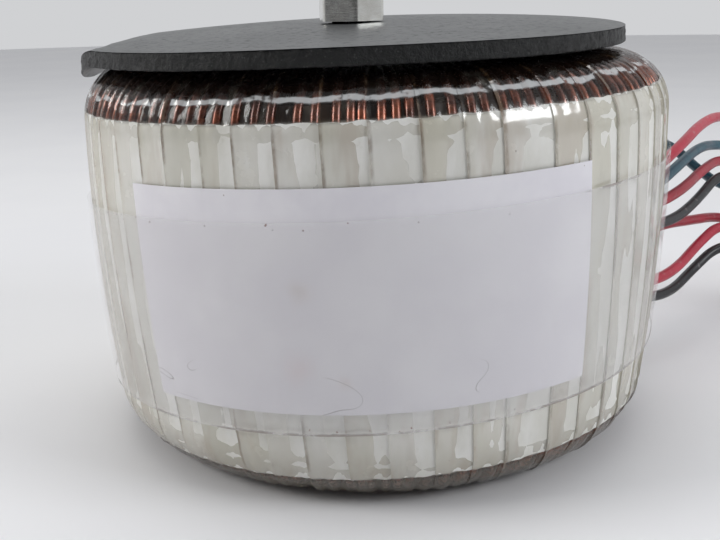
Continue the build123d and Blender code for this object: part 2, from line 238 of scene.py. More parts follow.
def arc(r, z, radius, start, steps):
    """Points on a quarter circle about (r, z), anticlockwise from a start angle."""
    turns = [radians(start + 90 * step / steps) for step in range(steps + 1)]
    return [(r + radius * cos(turn), z + radius * sin(turn)) for turn in turns]


def section(inset, bore_inset, fine):
    """Closed outline of the body's section, inset from the outside, in steps times a fineness."""
    foot_r = FOOT_CORNER - inset
    shoulder_r = SHOULDER_CORNER - inset
    low = FOOT_CORNER
    high = BODY_HEIGHT - SHOULDER_CORNER
    inner = HOLE_RADIUS + bore_inset
    corner = HOLE_CORNER - min(bore_inset, HOLE_CORNER - HOLE_CORNER_LEAST)
    top = BODY_HEIGHT + CROWN_RISE - inset
    foot = arc(side_radius(low) - FOOT_CORNER, low, foot_r, -90, 5 * fine)
    shoulder = arc(side_radius(high) - SHOULDER_CORNER, high, shoulder_r, 0, 7 * fine)
    heights = [low + (high - low) * step / (8 * fine) for step in range(1, 8 * fine)]
    side = [(side_radius(z) - inset, z) for z in heights]
    crown = between(shoulder[-1], (inner + corner, top), 5 * fine)
    over = arc(inner + corner, top - corner, corner, 90, 3 * fine)
    bore = between((inner, top - corner), (inner, inset + corner), 4 * fine)
    under = arc(inner + corner, inset + corner, corner, 180, 3 * fine)
    floor = between((inner + corner, inset), foot[0], 3 * fine)
    return foot + side + shoulder + crown + over + bore + under + floor


def between(start, end, steps):
    """Points between two others, without the two."""
    return [
        tuple(a + (b - a) * step / steps for a, b in zip(start, end))
        for step in range(1, steps)
    ]


def skin_radius(height, inset):
    """Radius of the body's outer skin at a height, round its corners, less an inset."""
    shoulder = BODY_HEIGHT - SHOULDER_CORNER
    for corner, centre in ((FOOT_CORNER, FOOT_CORNER), (SHOULDER_CORNER, shoulder)):
        off = height - centre
        if (off < 0) == (centre < MID_HEIGHT):
            reach = max((corner - inset) ** 2 - off ** 2, 0.0)
            return side_radius(centre) - corner + sqrt(reach)
    return side_radius(height) - inset


def band_climb(x):
    """How far the white band's edges have climbed at x, as they rise to the right."""
    return x * tan(radians(BAND_TILT))


def waver(point, size, seed):
    """Smooth noise from -1 to 1 at a point, with features of about a size, both in mm."""
    return noise.noise(Vector(point) / size + Vector((seed, 2 * seed, 3 * seed)))


def wander(point, layers):
    """Sum of smooth noises, each with a height, a size of features and a seed."""
    return sum(height * waver(point, size, seed) for height, size, seed in layers)


def placed(name, data):
    """New object in the scene."""
    thing = bpy.data.objects.new(name, data)
    bpy.context.scene.collection.objects.link(thing)
    return thing


def new_piece(name, points, faces, finish, slot, node, sharp=None, marks=None):
    """Mesh of points in mm on the root body, smooth up to an angle, in place of a solid's node."""
    mesh = bpy.data.meshes.new(name)
    mesh.from_pydata([tuple(c * MM for c in point) for point in points], [], faces)
    mesh.validate()
    mesh.update()
    mesh.shade_smooth()
    if sharp is not None:
        mesh.set_sharp_from_angle(angle=radians(sharp))
    for mark, values in (marks or {}).items():
        layer = mesh.attributes.new(mark, "FLOAT", "POINT")
        layer.data.foreach_set("value", values)
    piece = placed(name, mesh)
    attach(piece, "root")
    finish.put(piece, slot)
    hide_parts(node)
    return piece


def grid_faces(columns, rows, start=0, close_columns=False, close_rows=False):
    """Quads over points that are numbered column by column."""
    faces = []
    for column in range(columns if close_columns else columns - 1):
        here = start + column * rows
        there = start + (column + 1) % columns * rows
        for row in range(rows if close_rows else rows - 1):
            after = (row + 1) % rows
            faces.append((here + row, there + row, there + after, here + after))
    return faces


# Camera, as the photograph was taken
CAMERA_PLACE = (0.0, -171.2, 70.0)
CAMERA_PITCH = 15.25
CAMERA_YAW = -1.05
CAMERA_ROLL = -1.22
CAMERA_LENS = 50.0
SENSOR_WIDTH = 36.0


def add_camera():
    """Camera at its place, turned by its pitch below the horizon, its yaw and its roll."""
    data = bpy.data.cameras.new("camera")
    data.lens = CAMERA_LENS
    data.sensor_width = SENSOR_WIDTH
    camera = placed("camera", data)
    turn = Matrix.Rotation(radians(-CAMERA_YAW), 4, "Z")
    turn @= Matrix.Rotation(radians(90 - CAMERA_PITCH), 4, "X")
    turn @= Matrix.Rotation(radians(CAMERA_ROLL), 4, "Z")
    camera.matrix_world = Matrix.Translation(Vector(CAMERA_PLACE) * MM) @ turn
    bpy.context.scene.camera = camera


class Finish:
    """A material with one Principled shader, and short ways to chain nodes into it."""

    def __init__(self, name, **sockets):
        self.material = bpy.data.materials.new(name)
        self.material.use_nodes = True
        self.nodes = self.material.node_tree.nodes
        self.links = self.material.node_tree.links
        self.shader = self.nodes["Principled BSDF"]
        self.out(**sockets)
        self.place = self.node("TexCoord", "Object")

    def feed(self, socket, value):
        """A value or a link into a node's socket."""
        if isinstance(value, bpy.types.NodeSocket):
            self.links.new(value, socket)
        else:
            socket.default_value = value

    def node(self, kind, output, inputs=None, **settings):
        """Output of a new node with its settings, and with values or links in its inputs."""
        node = self.nodes.new("ShaderNode" + kind)
        for setting, value in settings.items():
            setattr(node, setting, value)
        for socket, value in (inputs or {}).items():
            self.feed(node.inputs[socket], value)
        return node.outputs[output]

    def out(self, **sources):
        """Links or values into the shader's own sockets."""
        for socket, value in sources.items():
            self.feed(self.shader.inputs[socket.replace("_", " ")], value)

    def mark(self, name):
        """A number written on the mesh's points."""
        return self.node("Attribute", "Fac", attribute_name=name)

    def stretched(self, x, y, z, shift=0.0):
        """The place in metres, scaled along each axis and shifted."""
        inputs = {"Vector": self.place, "Scale": (x, y, z), "Location": (shift, shift, shift)}
        return self.node("Mapping", "Vector", inputs)

    def cloud(self, size, detail=4.0, rough=0.55, stretch=(1, 1, 1), shift=0.0, warp=0.0):
        """Noise from 0 to 1 with features of a size in mm, longer where stretch is over 1."""
        scales = [1 / (size * MM * along) for along in stretch]
        inputs = {"Vector": self.stretched(*scales, shift), "Scale": 1.0}
        inputs.update({"Detail": detail, "Roughness": rough, "Distortion": warp})
        return self.node("TexNoise", "Fac", inputs)

    def specks(self, size, radius, shift=0.0):
        """1 inside small round specks, one in each cell of a size, and 0 outside, in mm."""
        scale = 1 / (size * MM)
        inputs = {"Vector": self.stretched(scale, scale, scale, shift), "Scale": 1.0}
        off = self.node("TexVoronoi", "Distance", inputs)
        return self.spread(off, radius / size, 0.6 * radius / size)

    def spread(self, value, low, high, start=0.0, end=1.0):
        """Value from low to high taken to start to end, and held there outside."""
        inputs = {"Value": value, "From Min": low, "From Max": high, "To Min": start, "To Max": end}
        return self.node("MapRange", "Result", inputs, interpolation_type="SMOOTHSTEP")

    def patches(self, low, high, *cloud, **more):
        """Noise of a size and so on, taken to 0 at low and to 1 at high."""
        return self.spread(self.cloud(*cloud, **more), low, high)

    def sway(self, reach, *cloud, **more):
        """Noise of a size and so on about 0, over a reach in all."""
        return self.times(self.maths("SUBTRACT", self.cloud(*cloud, **more), 0.5), reach)

    def maths(self, kind, first, second=0.0):
        """One sum of two numbers."""
        return self.node("Math", 0, {0: first, 1: second}, operation=kind)

    def times(self, *values):
        """Product of several numbers."""
        return reduce(lambda one, two: self.maths("MULTIPLY", one, two), values)

    def most(self, *values):
        """The largest of several numbers."""
        return reduce(lambda one, two: self.maths("MAXIMUM", one, two), values)

    def blend(self, share, first, second):
        """Colour between two others by a share."""
        inputs = {0: share, 6: tint(first), 7: tint(second)}
        return self.node("Mix", 2, inputs, data_type="RGBA")

    def over(self, base, colour, *shares):
        """A base with a colour laid over it by the product of some shares."""
        return self.blend(self.times(*shares), base, colour)

    def axis(self, name):
        """One coordinate of the place, in mm."""
        return self.times(self.node("SeparateXYZ", name, {0: self.place}), 1 / MM)

    def levelled(self):
        """Height in mm less the white band's climb to the right."""
        return self.maths("SUBTRACT", self.axis("Z"), self.times(self.axis("X"), band_climb(1)))

    def blot(self, azimuth, height, reach):
        """1 near a spot on the body's side and 0 beyond its reach in mm, with a ragged edge."""
        inputs = {0: self.place, 1: spot(azimuth, side_radius(height), height) * MM}
        off = self.node("VectorMath", "Value", inputs, operation="DISTANCE")
        ragged = self.times(self.cloud(2.5, shift=azimuth), reach * MM)
        return self.spread(self.maths("ADD", off, ragged), 1.5 * reach * MM, 0.2 * reach * MM)

    def grain(self, *layers):
        """Bump from (height, distance in mm) layers, into the shader's normal."""
        inputs = {"Strength": 1.0}
        for height, distance in layers:
            inputs.update({"Height": height, "Distance": distance * MM})
            inputs["Normal"] = self.node("Bump", "Normal", inputs)
        self.links.new(inputs["Normal"], self.shader.inputs["Normal"])

    def cover(self, piece):
        """The material on an object, in place of any other."""
        piece.data.materials.clear()
        piece.data.materials.append(self.material)

    def put(self, piece, slot):
        """The material on a piece. The slot is not used."""
        self.cover(piece)


def tint(colour):
    """A colour's three numbers with full alpha, and a link as it is."""
    return colour if isinstance(colour, bpy.types.NodeSocket) else (*colour, 1.0)


# Colours, linear; a pair of tones goes from the darker patches to the paler
CREAM = (0.69, 0.66, 0.555)
PALE_CREAM = (0.79, 0.77, 0.70)
# Painted shade on the left and right sides of the wrap
SIDE_SHADE_CREAM = (0.64, 0.58, 0.43)
GREY_GREEN = (0.47, 0.46, 0.37)
MILKY = (0.86, 0.855, 0.83)
SEAM_BROWN = (0.13, 0.075, 0.035)
AMBER = (0.42, 0.24, 0.10)
DIRT = (0.09, 0.065, 0.045)
OVER_COPPER = (0.035, 0.02, 0.014)
COPPER = (0.40, 0.105, 0.045)
DARK_COPPER = (0.09, 0.022, 0.012)
RUBBED_COPPER = (0.62, 0.30, 0.20)
# Painted shade on the copper under the rubber pad, and the heights where it sets in
PAINTED_PAD_SHADE = (0.006, 0.005, 0.005)
PAINTED_PAD_SHADE_LEVELS = (57.4, 59.4)
TAN = (0.46, 0.36, 0.27)
# Painted shade on the band near its foot
FOOT_SHADE_GREY = (0.36, 0.32, 0.25)
FOOT_BROWN = (0.20, 0.165, 0.12)
# Painted highlight: a pale line along the film on the shoulder, and its height
PAINTED_HIGHLIGHT = (0.80, 0.82, 0.83)
PAINTED_HIGHLIGHT_LEVEL = 58.0
BAND_TONES = [(0.66, 0.65, 0.60), (0.83, 0.825, 0.80)]
SMUDGE = (0.44, 0.42, 0.36)
# Insulation: clear film over copper, darkened as painted shade for the gaps between the wires
INSULATION_AND_SHADE_TONES = [(0.05, 0.028, 0.018), (0.13, 0.07, 0.04)]
CORE_TONES = [(0.30, 0.31, 0.33), (0.46, 0.47, 0.49)]
HEAT_TINT = (0.25, 0.20, 0.24)
CAP_TONES = [(0.68, 0.66, 0.60), (0.78, 0.77, 0.72)]
PAPER_TONES = [(0.735, 0.715, 0.765), (0.81, 0.795, 0.83)]
PAINTED_CREASE_SHADE = (0.60, 0.585, 0.60)
PAPER_SPECK = (0.22, 0.16, 0.13)
SCRATCH = (0.12, 0.09, 0.09)
TAPE_TONES = [(0.82, 0.81, 0.82), (0.9, 0.9, 0.9)]
TAPE_SPECK = (0.20, 0.06, 0.04)
RUBBER_TONES = [(0.030, 0.033, 0.035), (0.085, 0.088, 0.09)]
RUBBER_DUST = (0.10, 0.105, 0.105)
CUT_TONES = [(0.0015, 0.0018, 0.0018), (0.05, 0.053, 0.05)]
LINT = (0.4, 0.39, 0.36)
ZINC_TONES = [(0.68, 0.67, 0.63), (0.78, 0.78, 0.75)]
DULL_ZINC = (0.26, 0.25, 0.23)
LEAD_DUST = (0.45, 0.42, 0.42)
TIN_TONES = [(0.52, 0.51, 0.49), (0.72, 0.71, 0.69)]
WORN_TIN = (0.55, 0.28, 0.18)
TABLE_TONES = [(0.79, 0.79, 0.81), (0.82, 0.82, 0.835)]

# Stains on the label: azimuth, height, reach in mm, strength and colour
STAINS = [
    (-12.3, 33.4, 2.6, 0.30, (0.46, 0.33, 0.24)),
    (-13.1, 22.0, 3.4, 0.22, (0.62, 0.36, 0.34)),
    (-5.5, 20.6, 1.6, 0.30, (0.50, 0.33, 0.28)),
]

# Lead jackets: colour, paler colour and lowest roughness
JACKETS = {
    "lead_red": ((0.40, 0.012, 0.035), (0.48, 0.03, 0.06), 0.28),
    "lead_dark_red": ((0.30, 0.010, 0.025), (0.38, 0.02, 0.04), 0.3),
    "lead_teal": ((0.008, 0.060, 0.090), (0.014, 0.09, 0.125), 0.3),
    "lead_black": ((0.008, 0.009, 0.011), (0.018, 0.02, 0.023), 0.28),
}


def film_finish():
    """Clear, slightly yellowed tape: cloudy strips and dirty seams, with painted shade towards the
    sides and near the band's foot, and a painted highlight line along the shoulder.
    """
    film = Finish("clear_tape", IOR=1.75, Coat_Weight=0.9, Coat_Roughness=0.06, Coat_IOR=1.7)
    level = film.levelled()
    outer = film.spread(film.mark("radius"), 37.0, 39.0)
    over_band = film.times(
        film.spread(level, BAND_FOOT - 0.6, BAND_FOOT + 0.4),
        film.spread(level, BAND_TOP + 0.5, BAND_TOP - 0.5),
        outer,
    )
    strip = film.mark("strip_shade")
    fine_clouds = film.cloud(3.2, 5, 0.65, (1, 1, 3.0), shift=3.1)
    base = film.blend(film.patches(0.38, 0.62, 11, 5, 0.6, (1, 1, 2.4)), CREAM, PALE_CREAM)
    base = film.over(base, GREY_GREEN, film.spread(strip, 0.55, 1.0), 0.45)
    base = film.over(base, MILKY, film.spread(strip, 0.45, 0.0), 0.45)
    # Painted shade: towards the left and right sides the film is painted yellower and darker, and
    # the seam tints and seam dirt are painted more amber there.
    sides = film.spread(film.maths("ABSOLUTE", film.axis("X")), 30.0, 47.0)
    base = film.over(base, SIDE_SHADE_CREAM, sides, 0.55)
    base = film.over(base, GREY_GREEN, film.spread(fine_clouds, 0.55, 0.78), 0.4)
    base = film.over(base, MILKY, film.spread(fine_clouds, 0.44, 0.25), 0.55)
    above_band = film.over(OVER_COPPER, CREAM, film.spread(fine_clouds, 0.5, 0.8), 0.5)
    base = film.blend(over_band, above_band, base)
    across = film.maths("ADD", film.mark("across"), film.sway(0.05, 7, 4, 0.6, shift=5.0))
    seam = film.spread(across, 0.105, 0.035)
    soil = film.times(seam, film.patches(0.38, 0.62, 6, 5, 0.7, (1, 1, 2), shift=8.0), 0.9)
    halo = film.times(film.spread(across, 0.3, 0.0), film.patches(0.45, 0.7, 9, 4, shift=1.7), 0.5)
    base = film.over(base, film.blend(sides, GREY_GREEN, AMBER), halo, over_band)
    base = film.blend(soil, base, film.blend(film.times(sides, 0.6), SEAM_BROWN, AMBER))
    dots = film.times(film.specks(4.2, 0.22), film.patches(0.5, 0.6, 15, 2, shift=2.2))
    base = film.over(base, DIRT, dots, 0.85)
    dust = film.times(film.specks(1.7, 0.1, shift=4.0), film.patches(0.52, 0.6, 9, 2, shift=7.7))
    base = film.over(base, SEAM_BROWN, dust, 0.7)
    tanned = film.patches(0.5, 0.64, 8, 3, 0.6, (0.6, 0.6, 3), shift=16.0)
    base = film.over(base, TAN, tanned, 0.4, over_band)
    # Painted shade: the band is painted greyer towards its foot, where the body turns under towards
    # the table.
    foot = film.spread(level, BAND_FOOT + 7.5, BAND_FOOT + 0.5)
    base = film.over(base, FOOT_SHADE_GREY, foot, over_band, 0.45)
    bottom = film.times(film.spread(level, BAND_FOOT + 0.2, BAND_FOOT - 0.8), outer)
    base = film.over(base, FOOT_BROWN, bottom, 0.8)
    # Painted highlight: a bright, broken, wavering line along the shoulder, also made less clear,
    # stands for the reflection of the bright surroundings.
    swayed = film.maths("ADD", level, film.sway(2.2, 6, 3, 0.6, shift=12.0))
    off_line = film.maths("ABSOLUTE", film.maths("SUBTRACT", swayed, PAINTED_HIGHLIGHT_LEVEL))
    broken = film.patches(0.36, 0.5, 3.5, 3, 0.6, shift=14.0)
    painted_highlight = film.times(film.spread(off_line, 0.55, 0.2), broken, outer)
    base = film.over(base, PAINTED_HIGHLIGHT, painted_highlight)
    covers = [
        film.spread(over_band, 0.0, 1.0, 0.20, 0.72),
        film.times(painted_highlight, 0.62),
        film.times(bottom, 0.6),
        film.times(soil, 0.95),
        film.times(film.spread(fine_clouds, 0.55, 0.8), 0.5),
    ]
    film.out(
        Base_Color=base,
        Alpha=film.most(*covers),
        Roughness=film.spread(film.cloud(5, 5, 0.6, shift=6.0), 0.3, 0.75, 0.07, 0.32),
    )
    film.grain(
        (film.cloud(2.2, 3, 0.5, (1, 1, 3.5), shift=9.0), 0.05),
        (film.cloud(0.5, 3, 0.6, (1, 1, 2.0), shift=2.0), 0.008),
    )
    return film


def copper_finish(name, shade):
    """Enamelled wire: brown enamel over copper, rubbed in places, with painted shade under the pad.
    """
    copper = Finish(name, Metallic=0.55, IOR=1.55, Coat_Weight=0.7, Coat_Roughness=0.12)
    tone = copper.patches(0.35, 0.7, 3.5, 4, 0.6, shift=shade)
    base = copper.blend(tone, DARK_COPPER, COPPER)
    base = copper.over(base, RUBBED_COPPER, copper.patches(0.6, 0.75, 1.1, 3, shift=shade + 1), 0.5)
    # Painted shade: the turns are painted near-black high on the shoulder, standing for the pad's
    # shadow and the painted reflection of its dark underside.
    base = copper.over(base, PAINTED_PAD_SHADE, copper.spread(copper.levelled(), *PAINTED_PAD_SHADE_LEVELS), 0.92)
    copper.out(
        Base_Color=base,
        Roughness=copper.spread(copper.cloud(0.8, 3, shift=4.0), 0.3, 0.7, 0.18, 0.4),
    )
    copper.grain((copper.cloud(0.4, 3), 0.01))
    return copper


def band_finish():
    """White backing tape with faint vertical creases and grey smudges."""
    band = Finish("white_film", IOR=1.45)
    tone = band.patches(0.35, 0.7, 9, 5, 0.6, (1, 1, 2))
    base = band.blend(tone, *BAND_TONES)
    base = band.over(base, SMUDGE, band.patches(0.58, 0.75, 3, 5, 0.7, shift=2.0), 0.4)
    band.out(Base_Color=base, Roughness=band.spread(tone, 0.0, 1.0, 0.4, 0.55))
    band.grain((band.cloud(1.2, 4, 0.6, (1, 1, 4)), 0.04))
    return band


def insulation_finish():
    """Polyester film in thin lapping turns, painted a dark amber-brown: the copper seen through the
    clear film, and painted shade in the gaps between the wires.
    """
    film = Finish("insulation_film", IOR=1.6, Coat_Weight=0.4)
    tone = film.patches(0.35, 0.7, 4, 4, 0.6, (1, 1, 4))
    film.out(
        Base_Color=film.blend(tone, *INSULATION_AND_SHADE_TONES),
        Roughness=film.spread(tone, 0, 1, 0.25, 0.4),
    )
    film.grain((film.cloud(1.0, 3, 0.5, (1, 1, 6)), 0.05))
    return film


def core_finish():
    """Wound steel strip: thin rings one round the other, with a few heat tints."""
    steel = Finish("core_steel", Metallic=0.9, IOR=2.2)
    inputs = {"Vector": steel.stretched(500, 500, 0), "Scale": 1.0, "Distortion": 0.4}
    layers = steel.node("TexWave", "Fac", inputs, wave_type="RINGS", rings_direction="Z")
    base = steel.blend(layers, *CORE_TONES)
    base = steel.over(base, HEAT_TINT, steel.patches(0.5, 0.7, 14, 3), 0.4)
    steel.out(
        Base_Color=base,
        Roughness=steel.spread(steel.cloud(2, 3, shift=1), 0.3, 0.7, 0.3, 0.5),
    )
    steel.grain((layers, 0.02))
    return steel


def cap_finish():
    """Moulded nylon with a matt skin and faint flow marks."""
    nylon = Finish("cap_plastic", IOR=1.5)
    tone = nylon.patches(0.3, 0.7, 12, 4, 0.5, (3, 1, 1))
    nylon.out(
        Base_Color=nylon.blend(tone, *CAP_TONES),
        Roughness=nylon.spread(nylon.cloud(1.5, 3), 0.3, 0.7, 0.45, 0.6),
    )
    nylon.grain((nylon.cloud(0.35, 3), 0.015))
    return nylon


def paper_finish():
    """Lilac-white paper with specks, creases with painted shade along them, stains and a few
    hair-thin scratches.
    """
    paper = Finish("label_paper", IOR=1.45)
    tone = paper.patches(0.35, 0.68, 14, 4, 0.6)
    base = paper.blend(tone, *PAPER_TONES)
    creased = paper.cloud(3.0, 4, 0.6, (1, 1, 12), shift=3.3)
    # Painted shade: the paper is painted a little darker along its creases.
    base = paper.over(base, PAINTED_CREASE_SHADE, paper.spread(creased, 0.60, 0.72), 0.16)
    for azimuth, height, reach, strength, colour in STAINS:
        base = paper.over(base, colour, paper.blot(azimuth, height, reach), strength)
    dots = paper.times(paper.specks(3.1, 0.13), paper.patches(0.5, 0.6, 8, 2, shift=5.0))
    base = paper.over(base, PAPER_SPECK, dots, 0.7)
    hair = paper.cloud(13, 1, 0.3, (1, 1, 0.5), shift=6.6, warp=0.6)
    line = paper.times(
        paper.spread(paper.maths("ABSOLUTE", paper.maths("SUBTRACT", hair, 0.5)), 0.0035, 0.001),
        paper.spread(paper.axis("Z"), 25.0, 22.0),
        paper.patches(0.5, 0.56, 11, 2, shift=9.1),
    )
    base = paper.over(base, SCRATCH, line, 0.75)
    paper.out(Base_Color=base, Roughness=paper.spread(tone, 0, 1, 0.5, 0.62))
    paper.grain((paper.cloud(0.25, 3, 0.6), 0.002), (creased, 0.04))
    return paper


def tape_finish():
    """Clear tape over the label: nearly unseen but for its gloss and its dirty edges."""
    tape = Finish("cover_tape_film", IOR=1.8, Coat_Weight=1.0, Coat_Roughness=0.05, Coat_IOR=1.8)
    rim = tape.mark("rim")
    ragged = tape.maths("ADD", rim, tape.sway(0.7, 4, 5, 0.7))
    wear = tape.patches(0.36, 0.6, 7, 5, 0.7, shift=2.0)
    line = tape.times(tape.spread(ragged, 0.55, 0.15), wear, tape.mark("soiled"), 0.8)
    near_rim = tape.spread(rim, 2.6, 0.2)
    dots = tape.times(tape.specks(1.1, 0.17), near_rim, tape.patches(0.42, 0.55, 3, 2, shift=8.0))
    streak = tape.patches(0.6, 0.8, 4.0, 5, 0.65, (1, 1, 0.35), shift=5.5)
    base = tape.blend(tape.times(streak, 0.5), *TAPE_TONES)
    base = tape.over(base, SEAM_BROWN, line)
    base = tape.over(base, TAPE_SPECK, dots)
    tape.out(
        Base_Color=base,
        Alpha=tape.most(tape.times(streak, 0.30), 0.17, line, tape.times(dots, 0.9)),
        Roughness=tape.spread(tape.cloud(6, 4, shift=3.0), 0.3, 0.7, 0.06, 0.22),
    )
    tape.grain((tape.cloud(5, 3, 0.5, (1, 1, 3), shift=1.0), 0.08))
    return tape


def rubber_finish():
    """Cut sheet rubber: smooth dusty faces and a granular black edge."""
    rubber = Finish("black_rubber", IOR=1.38)
    edge = rubber.mark("cut_edge")
    dust = rubber.patches(0.35, 0.75, 16, 5, 0.6)
    fine = rubber.patches(0.45, 0.75, 1.2, 5, 0.7, shift=2.0)
    face = rubber.blend(rubber.times(dust, 0.7), *RUBBER_TONES)
    face = rubber.over(face, RUBBER_DUST, fine, 0.35)
    cut = rubber.blend(rubber.times(rubber.specks(0.75, 0.16, shift=1.0), 0.5), *CUT_TONES)
    face = rubber.over(face, LINT, rubber.specks(5.0, 0.16, shift=3.0), 0.7)
    rubber.out(
        Base_Color=rubber.blend(edge, face, cut),
        Roughness=rubber.spread(fine, 0, 1, 0.34, 0.55),
    )
    rubber.grain(
        (rubber.times(rubber.cloud(0.6, 4, 0.7, shift=5.0), edge), 0.35),
        (rubber.cloud(0.3, 3, 0.6), 0.012),
    )
    return rubber


def zinc_finish():
    """Zinc plate, smooth and bright, with faint turning marks and a few dull spots."""
    zinc = Finish("zinc_steel", Metallic=1.0, IOR=2.0)
    tone = zinc.patches(0.35, 0.7, 2.2, 5, 0.6)
    base = zinc.blend(tone, *ZINC_TONES)
    base = zinc.over(base, DULL_ZINC, zinc.patches(0.66, 0.76, 0.9, 4, shift=3.0), 0.3)
    zinc.out(
        Base_Color=base,
        Roughness=zinc.spread(zinc.cloud(1.3, 4, shift=1.0), 0.3, 0.7, 0.10, 0.18),
    )
    zinc.grain((zinc.cloud(0.5, 3, 0.6, (4, 4, 0.4)), 0.004))
    return zinc


def lead_finish(name, colour, paler, rough):
    """Soft PVC jacket with dusty streaks and a fine skin."""
    jacket = Finish(name, IOR=1.52)
    tone = jacket.patches(0.35, 0.7, 5, 4, 0.6)
    base = jacket.blend(tone, colour, paler)
    base = jacket.over(base, LEAD_DUST, jacket.patches(0.58, 0.75, 1.4, 4, shift=4.0), 0.3)
    jacket.out(Base_Color=base, Roughness=jacket.spread(tone, 0, 1, rough, rough + 0.15))
    jacket.grain((jacket.cloud(0.35, 3, 0.6), 0.012))
    return jacket


def tinned_finish():
    """Tinned copper strands, dull silver with copper showing in spots."""
    tin = Finish("tinned_copper", Metallic=1.0, IOR=2.0)
    tone = tin.patches(0.35, 0.7, 0.9, 4, 0.6)
    base = tin.blend(tone, *TIN_TONES)
    base = tin.over(base, WORN_TIN, tin.patches(0.66, 0.76, 0.6, 3, shift=2.0), 0.6)
    tin.out(Base_Color=base, Roughness=tin.spread(tone, 0, 1, 0.25, 0.42))
    tin.grain((tin.cloud(0.2, 2), 0.01))
    return tin


def floor_finish():
    """Pale matt table top."""
    floor = Finish("table_top", IOR=1.4, Roughness=0.55)
    tone = floor.patches(0.3, 0.7, 90, 3)
    floor.out(Base_Color=floor.blend(tone, *TABLE_TONES))
    floor.grain((floor.cloud(0.8, 3), 0.01))
    return floor


def wrap_seams():
    """Azimuths of the seams at mid height, once round from the first."""
    last = FRONT_SEAMS[-1]
    pitch = (FRONT_SEAMS[0] + 360 - last) / OTHER_STRIPS
    others = [
        last + pitch * strip + dice.uniform(-SEAM_SCATTER, SEAM_SCATTER)
        for strip in range(1, OTHER_STRIPS)
    ]
    return FRONT_SEAMS + others


def copper_turns():
    """Azimuths of the turns that fill the two sectors, once round from -180 to 180."""
    turns = []
    azimuth = -180.0 + TURN_PITCH / 2
    while azimuth < 180:
        in_front = FRONT_TURNS[0] - TURN_PITCH / 2 < azimuth < FRONT_TURNS[-1] + TURN_PITCH / 2
        gap = abs((azimuth - SECTOR_START + 90) % 180 - 90)
        if not in_front and gap > SECTOR_MARGIN:
            turns.append(azimuth + dice.uniform(-TURN_SCATTER, TURN_SCATTER))
        azimuth += TURN_PITCH
    return sorted(turns + FRONT_TURNS)


turns = copper_turns()


def nearest_turn(azimuth):
    """How far an azimuth lies from the nearest turn, in half pitches."""
    azimuth = (azimuth + 180) % 360 - 180
    place = bisect(turns, azimuth)
    before = turns[place - 1] - 360 * (place == 0)
    after = turns[place % len(turns)] + 360 * (place == len(turns))
    return min(azimuth - before, after - azimuth, TURN_PITCH / 2) / (TURN_PITCH / 2)


def outline_normals(outline):
    """Outward direction of a closed section outline at each of its points."""
    normals = []
    for before, after in zip(outline[-1:] + outline[:-1], outline[1:] + outline[:1]):
        r = after[0] - before[0]
        z = after[1] - before[1]
        size = hypot(r, z)
        normals.append((z / size, -r / size))
    return normals


def leaning(azimuth, r, z):
    """Point of a strip's edge; as they rise, the front strips lean to the left."""
    turn = radians(azimuth)
    lean = tan(radians(STRIP_LEAN)) * (z - MID_HEIGHT)
    return Vector((
        r * sin(turn) - lean * cos(turn), -r * cos(turn) - lean * sin(turn), z
    ))


def lead_lift(point):
    """How far the film stands up round the leads that come out through it."""
    lift = 0.0
    for _, azimuth, height, _ in LEADS.values():
        off = (point - spot(azimuth, side_radius(height), height)).length
        lift = max(lift, LEAD_MOUND_RISE * exp(-(off / LEAD_MOUND_REACH) ** 2))
    return lift


def add_wrap(finish):
    """Clear wrap: flat leaning strips that lap like shingles, sagging between bare turns."""
    outline = section(0.0, 0.0, 2)
    normals = outline_normals(outline)
    seams = wrap_seams()
    ends = seams[1:] + [seams[0] + 360]
    points = []
    marks = {"across": [], "strip_shade": [], "radius": []}
    for strip, (start, end) in enumerate(zip(seams, ends)):
        shade = dice.random()
        slack = dice.uniform(0.5, 1.2)
        for column in range(STRIP_COLUMNS):
            across = column / (STRIP_COLUMNS - 1)
            azimuth = start + (end - start) * (across - SEAM_GAP * (across == 1.0))
            for (r, z), (nr, nz) in zip(outline, normals):
                lapped = r - STRIP_LAP * across * max(nr, 0.0)
                flat = leaning(start, lapped, z).lerp(leaning(end, lapped, z), across)
                point = flat.lerp(leaning(azimuth, lapped, z), STRIP_ROUNDNESS)
                true_azimuth = degrees(atan2(point.x, -point.y))
                level = z - band_climb(point.x)
                bare = smooth_step(level, BAND_TOP - 1.5, BAND_TOP + 1.0)
                bare = max(bare, smooth_step(level, BAND_FOOT + 1.5, BAND_FOOT - 1.0))
                off_turn = nearest_turn(true_azimuth)
                sag = FILM_SAG * off_turn * off_turn * (BACKED_SAG + (1 - BACKED_SAG) * bare)
                ripple = waver((point.x, point.y, z * 0.35), 4.5, 1.0 + 0.01 * strip)
                pleat = waver((azimuth * 0.8, z * 0.12, strip * 7.0), 1.0, 5.0)
                amount = FILM_RIPPLE * slack * (ripple + 0.5 * pleat) * (1 + 1.4 * bare) - sag
                if r > HOLE_RADIUS * 2 and point.x > LEAD_SIDE_X and point.y > LEAD_SIDE_Y:
                    amount += lead_lift(point)
                outward = spot(true_azimuth, nr, nz)
                points.append(point + outward * amount)
                marks["across"].append(across)
                marks["strip_shade"].append(shade)
                marks["radius"].append(r)
    columns = len(seams) * STRIP_COLUMNS
    faces = grid_faces(columns, len(outline), close_columns=True, close_rows=True)
    new_piece("wrap_film", points, faces, finish, "clear_tape", "clear_wrap", 24, marks)


